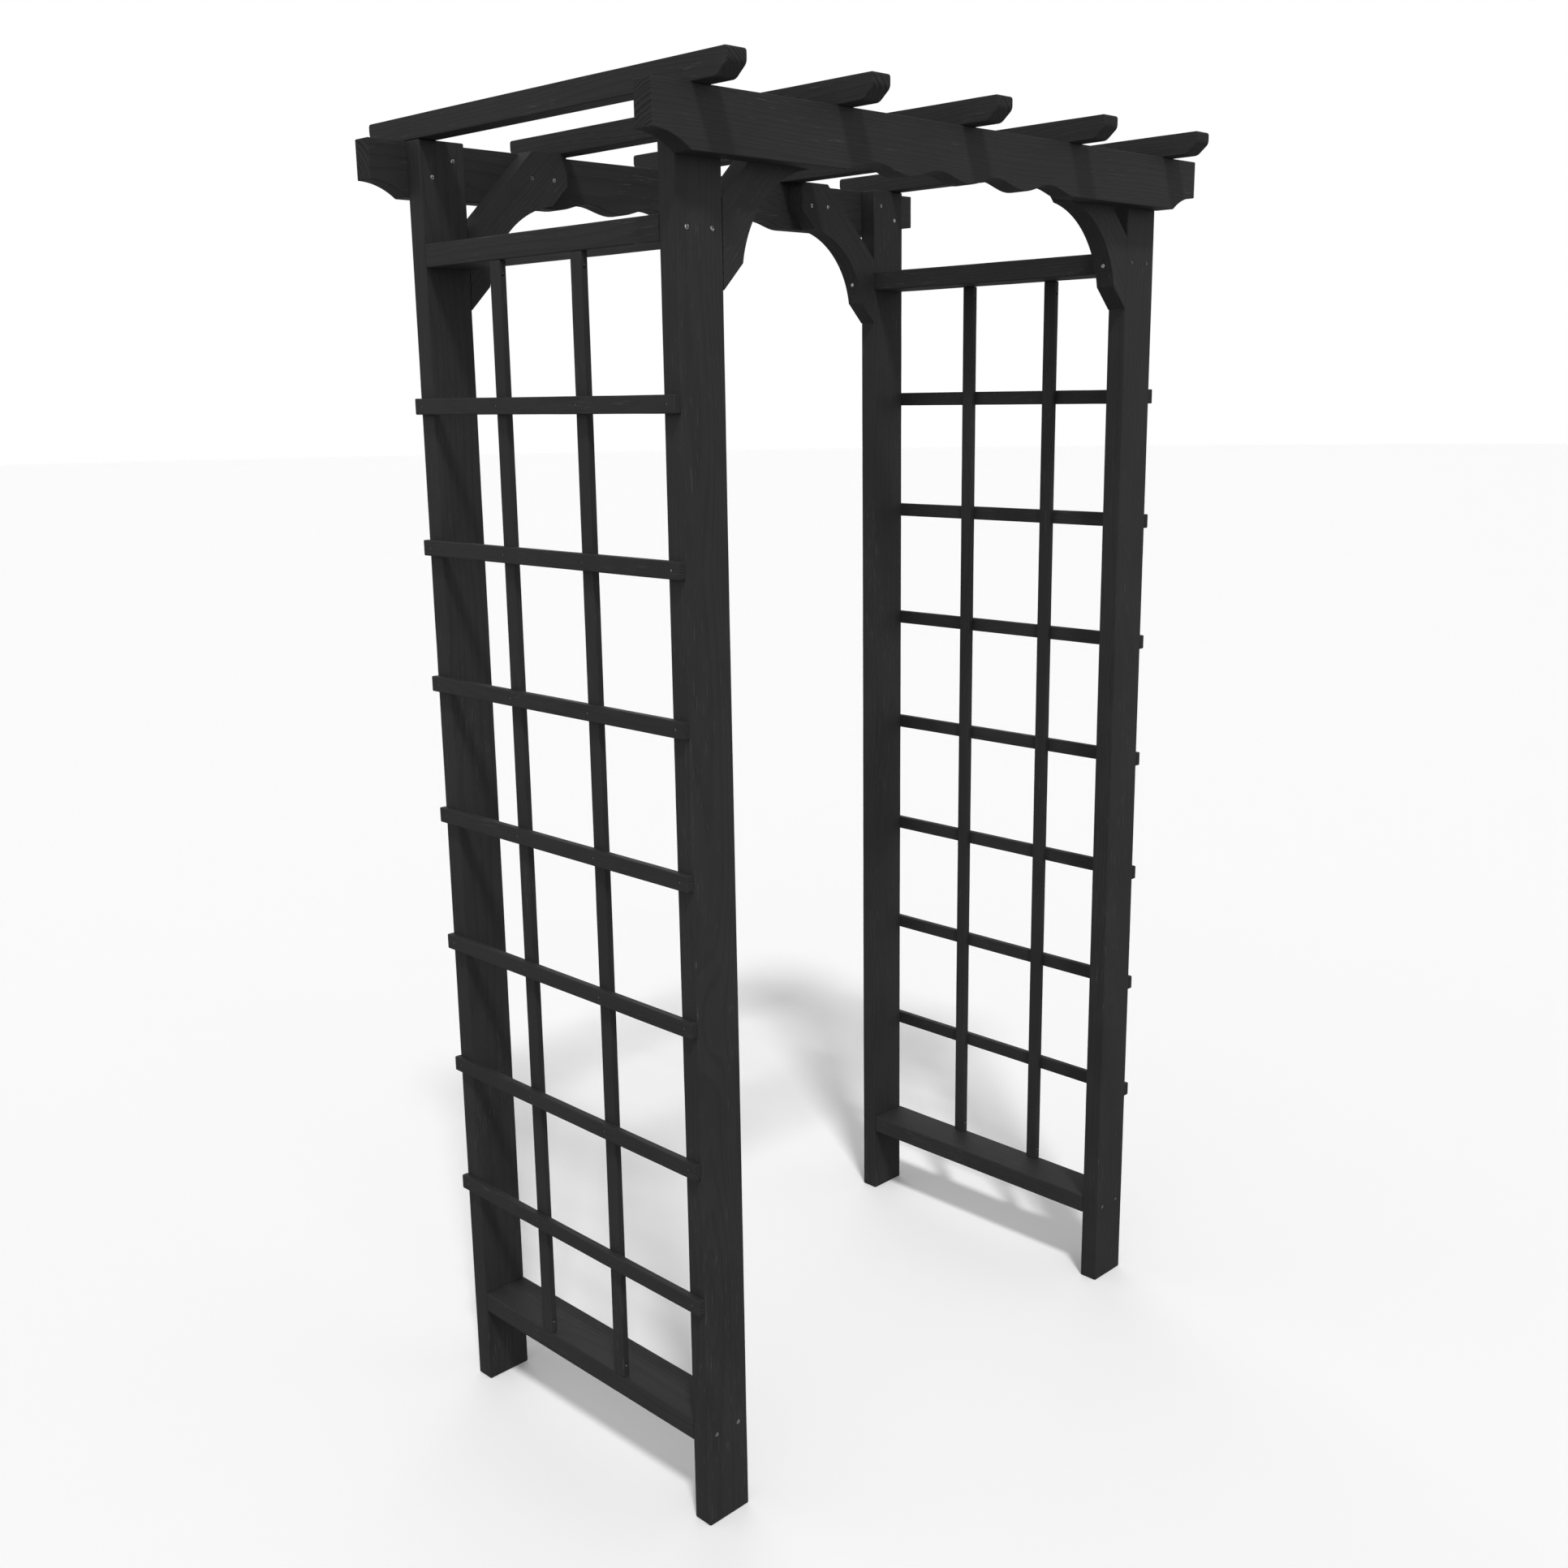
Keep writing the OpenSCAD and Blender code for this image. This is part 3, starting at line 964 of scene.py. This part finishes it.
# Zinc on the screws and nails
zinc = {
    "screw": {"bright": (0.62, 0.62, 0.60, 1), "dull": (0.30, 0.30, 0.29, 1)},
    "nail": {"bright": (0.42, 0.42, 0.41, 1), "dull": (0.16, 0.16, 0.155, 1)},
    "spangle": 900.0,      # repeats in a metre
    "dirt": 420.0,
    "cover": 260.0,
    "scratch": (300.0, 2600.0, 300.0),
    "coverStart": 0.30,    # noise below this is bare even on a head that is all painted
    "coverReach": 0.40,
    "coverEdge": 0.05,
    "coverMost": 0.92,
    "rough": 0.22,
    "relief": 0.0001,
}


def zincPlate(name, look):
    # plated steel with the paint still on part of it
    material, tree, shader = newMaterial(name)
    place = addNode(tree, "ShaderNodeTexCoord").outputs["Object"]
    spangle = addNode(tree, "ShaderNodeTexVoronoi", {
        "Vector": place, "Scale": zinc["spangle"],
    })
    grey = addNode(tree, "ShaderNodeRGBToBW", {"Color": spangle.outputs["Color"]}).outputs[0]
    dirt = speckle(tree, place, zinc["dirt"], 4.0, 0.6)
    scratch = speckle(tree, stretch(tree, place, zinc["scratch"]), 1.0, 2.0)
    cover = speckle(tree, place, zinc["cover"], 3.0, 0.55)
    share = addNode(tree, "ShaderNodeAttribute", attribute_name="bare").outputs["Fac"]
    limit = reckon(tree, "MULTIPLY_ADD", share, zinc["coverReach"], zinc["coverStart"])
    over = reckon(tree, "SUBTRACT", cover, limit)
    painted = remap(tree, over, -zinc["coverEdge"], zinc["coverEdge"])
    painted = reckon(tree, "MULTIPLY", painted, zinc["coverMost"])
    plate = blendColours(tree, reckon(tree, "MULTIPLY_ADD", grey, 0.5,
                                      reckon(tree, "MULTIPLY", dirt, 0.5)),
                         look["bright"], look["dull"])
    feed(tree, shader.inputs["Base Color"], blendColours(tree, painted, plate, paint["body"]))
    feed(tree, shader.inputs["Metallic"], reckon(tree, "SUBTRACT", 1.0, painted, clamp=True))
    rough = reckon(tree, "MULTIPLY_ADD", scratch, 0.25, zinc["rough"])
    rough = reckon(tree, "MULTIPLY_ADD", painted, 0.25, rough)
    feed(tree, shader.inputs["Roughness"], rough)
    height = reckon(tree, "MULTIPLY_ADD", dirt, 0.5, reckon(tree, "MULTIPLY", scratch, 0.5))
    height = reckon(tree, "MULTIPLY_ADD", painted, 0.6, height)
    bump = addNode(tree, "ShaderNodeBump", {
        "Strength": 0.6, "Distance": zinc["relief"], "Height": height,
    })
    feed(tree, shader.inputs["Normal"], bump.outputs[0])
    return material


looks = {
    "painted_timber": paintedWood("painted timber", boardLook),
    "painted_lath": paintedWood("painted laths", lathLook),
    "zinc_screw": zincPlate("zinc screws", zinc["screw"]),
    "zinc_nail": zincPlate("zinc nails", zinc["nail"]),
}
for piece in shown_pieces():
    if "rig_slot" in piece:
        piece.data.materials.clear()
        piece.data.materials.append(looks[piece["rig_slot"]])
print("materials set")


# Floor, light and camera
studio = {
    "floor": (1.0, 1.0, 1.0, 1),
    "floorMottle": (0.90, 0.90, 0.90, 1),
    "bounce": (0.34, 0.34, 0.34, 1),   # what the floor throws back up at the arch
    "floorReach": 60.0,
    "floorEdges": 96,
    "mottleScale": 1.3,
    "mottleShare": 0.05,
    "horizon": 1.15,
    "zenith": 0.25,
    "nearSide": Vector((-0.707, -0.707, 0)),
    "nearShare": 1.25,
    "farShare": 0.55,
    "backdrop": 1.0,
    "keyFrom": Vector((-0.31, -0.44, 0.84)),
    "keySpread": math.radians(7),
    "keyPower": 1.6,
    "fillFrom": Vector((0.55, 0.70, 0.45)),
    "fillSpread": math.radians(50),
    "fillPower": 0.5,
}


def studioFloor():
    # a round pale floor that runs out to the horizon
    bm = bmesh.new()
    bmesh.ops.create_circle(bm, cap_ends=True, radius=studio["floorReach"],
                            segments=studio["floorEdges"])
    piece = finishMesh(bm, "studio_floor")
    material, tree, shader = newMaterial("studio floor")
    place = addNode(tree, "ShaderNodeTexCoord").outputs["Object"]
    mottle = speckle(tree, place, studio["mottleScale"], 3.0)
    mottle = reckon(tree, "MULTIPLY", mottle, studio["mottleShare"])
    pale = blendColours(tree, mottle, studio["floor"], studio["floorMottle"])
    seen = addNode(tree, "ShaderNodeLightPath").outputs["Is Camera Ray"]
    feed(tree, shader.inputs["Base Color"], blendColours(tree, seen, studio["bounce"], pale))
    shader.inputs["Roughness"].default_value = 0.9
    shader.inputs["Specular IOR Level"].default_value = 0.1
    piece.data.materials.append(material)


def studioWorld():
    # white light all round, strongest from the sides, and a white backdrop
    world = bpy.data.worlds.new("studio")
    world.use_nodes = True
    tree = world.node_tree
    seen = addNode(tree, "ShaderNodeLightPath").outputs["Is Camera Ray"]
    outward = addNode(tree, "ShaderNodeTexCoord").outputs["Generated"]
    height = addNode(tree, "ShaderNodeSeparateXYZ", {"Vector": outward}).outputs["Z"]
    sky = remap(tree, height, 0.0, 1.0, studio["horizon"], studio["zenith"])
    across = addNode(tree, "ShaderNodeVectorMath", {0: outward, 1: studio["nearSide"]},
                     operation="DOT_PRODUCT").outputs["Value"]
    share = remap(tree, across, -1.0, 1.0, studio["farShare"], studio["nearShare"])
    lit = reckon(tree, "MULTIPLY", reckon(tree, "SUBTRACT", 1.0, seen), sky)
    lit = reckon(tree, "MULTIPLY", lit, share)
    strength = reckon(tree, "MULTIPLY_ADD", seen, studio["backdrop"], lit)
    background = tree.nodes["Background"]
    background.inputs["Color"].default_value = (1, 1, 1, 1)
    feed(tree, background.inputs["Strength"], strength)
    scene.world = world


studioFloor()
studioWorld()


def addSun(name, fromWhere, spread, power):
    data = bpy.data.lights.new(name, "SUN")
    data.angle = spread
    data.energy = power
    light = bpy.data.objects.new(name, data)
    light.rotation_euler = fromWhere.to_track_quat("Z", "Y").to_euler()
    scene.collection.objects.link(light)


addSun("key light", studio["keyFrom"], studio["keySpread"], studio["keyPower"])
addSun("fill light", studio["fillFrom"], studio["fillSpread"], studio["fillPower"])

view = {
    "place": Vector((-2.2522, -2.1920, 1.8538)),
    "yaw": math.radians(44.841),     # clockwise from straight through the arch
    "pitch": math.radians(-12.957),
    "roll": math.radians(-0.786),
    "lens": 38.548,
}
cameraData = bpy.data.cameras.new("camera")
cameraData.sensor_width = 36
cameraData.lens = view["lens"]
camera = bpy.data.objects.new("camera", cameraData)
aim = Matrix.Rotation(-view["yaw"], 4, "Z")
aim = aim @ Matrix.Rotation(math.pi / 2 + view["pitch"], 4, "X")
aim = aim @ Matrix.Rotation(view["roll"], 4, "Z")
camera.matrix_world = Matrix.Translation(view["place"]) @ aim
scene.collection.objects.link(camera)
scene.camera = camera
scene.view_settings.view_transform = "Standard"
print("studio set")
